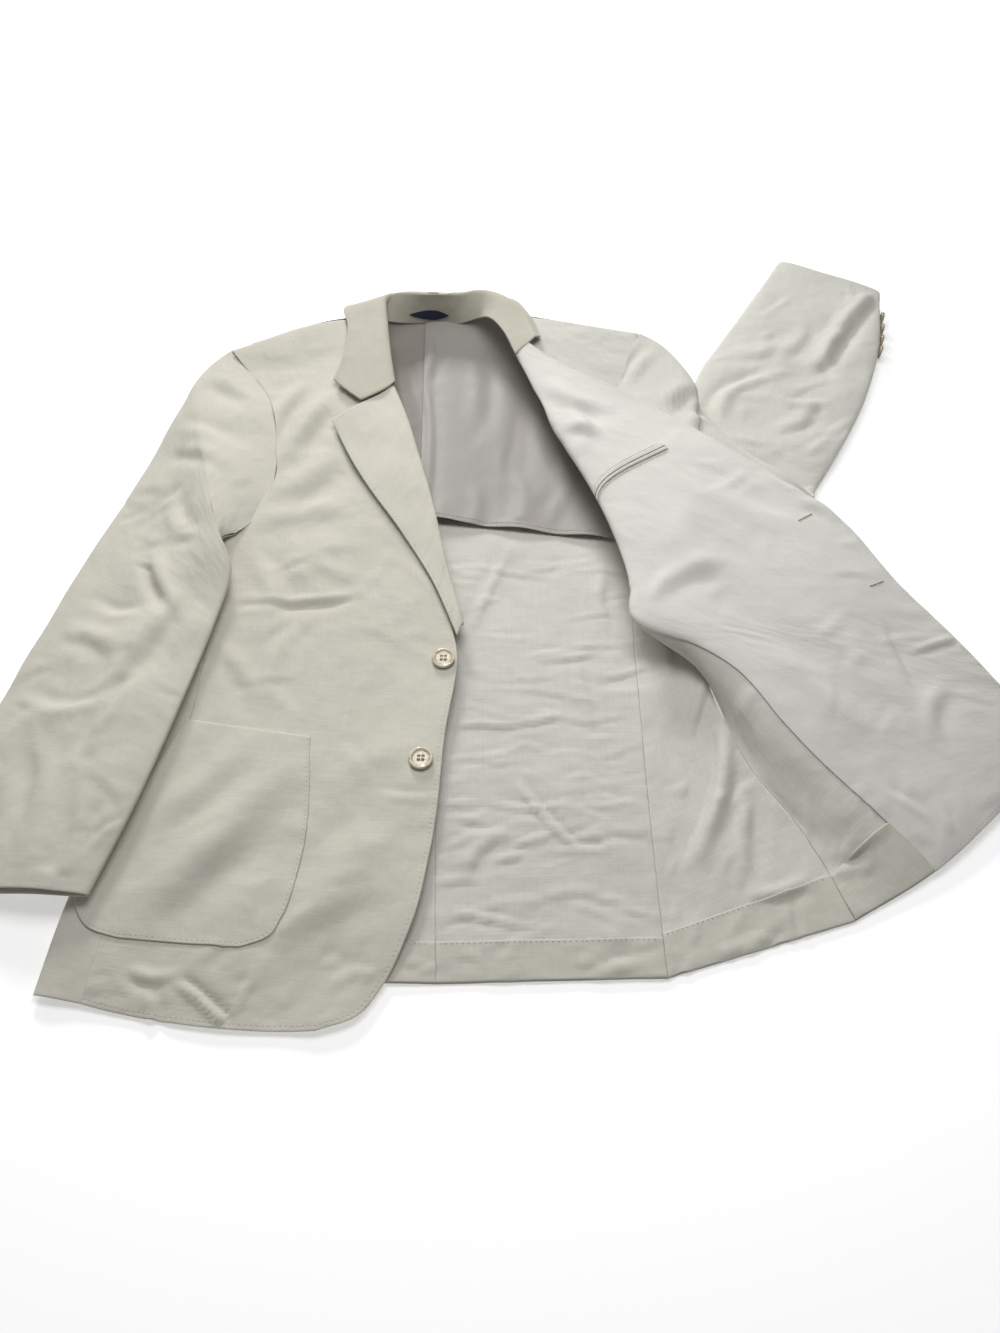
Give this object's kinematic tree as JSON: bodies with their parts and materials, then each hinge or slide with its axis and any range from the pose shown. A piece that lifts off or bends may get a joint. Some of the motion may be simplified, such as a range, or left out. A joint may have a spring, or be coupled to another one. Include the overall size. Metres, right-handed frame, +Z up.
{
  "type": "single breasted blazer",
  "caption": "Two-button single breasted linen blazer with notch lapels, patch pockets and a half lining, laid flat and half opened",
  "frame": {"origin": "Centre of the part's box, on the surface that it lies on", "axes": "+X from the wearer's right cuff to the front corner on the wearer's left, +Y from the hem to the collar, +Z up from the surface"},
  "size_m": [0.8954, 0.888, 0.0596],
  "materials": {
    "linen": "matte",
    "lining": "satin",
    "label": "matte",
    "horn": "gloss",
    "cuff_horn": "gloss"
  },
  "bodies": {
    "root": {"back_right": "linen", "back_left": "linen", "hem_back_right": "linen", "hem_back_left": "linen", "side_right": "linen", "front_right": "linen", "lapel_right": "linen", "collar": "linen", "front_left": "linen", "facing_left": "linen", "side_left": "linen", "hem_side_left": "linen", "hem_front_left": "linen", "lapel_left": "linen", "pocket_right": "linen", "pocket_left": "linen", "inside_pocket_welt": "linen", "sleeve_right_top": "linen", "sleeve_right_under": "linen", "sleeve_left_top": "linen", "sleeve_left_under": "linen", "lining_right": "lining", "lining_left": "lining", "neck_label": "label", "button_front_upper": "horn", "button_front_lower": "horn", "cuff_button_right_1": "cuff_horn", "cuff_button_right_2": "cuff_horn", "cuff_button_right_3": "cuff_horn", "cuff_button_right_4": "cuff_horn", "cuff_button_left_1": "cuff_horn", "cuff_button_left_2": "cuff_horn", "cuff_button_left_3": "cuff_horn", "cuff_button_left_4": "cuff_horn"}
  },
  "joints": []
}
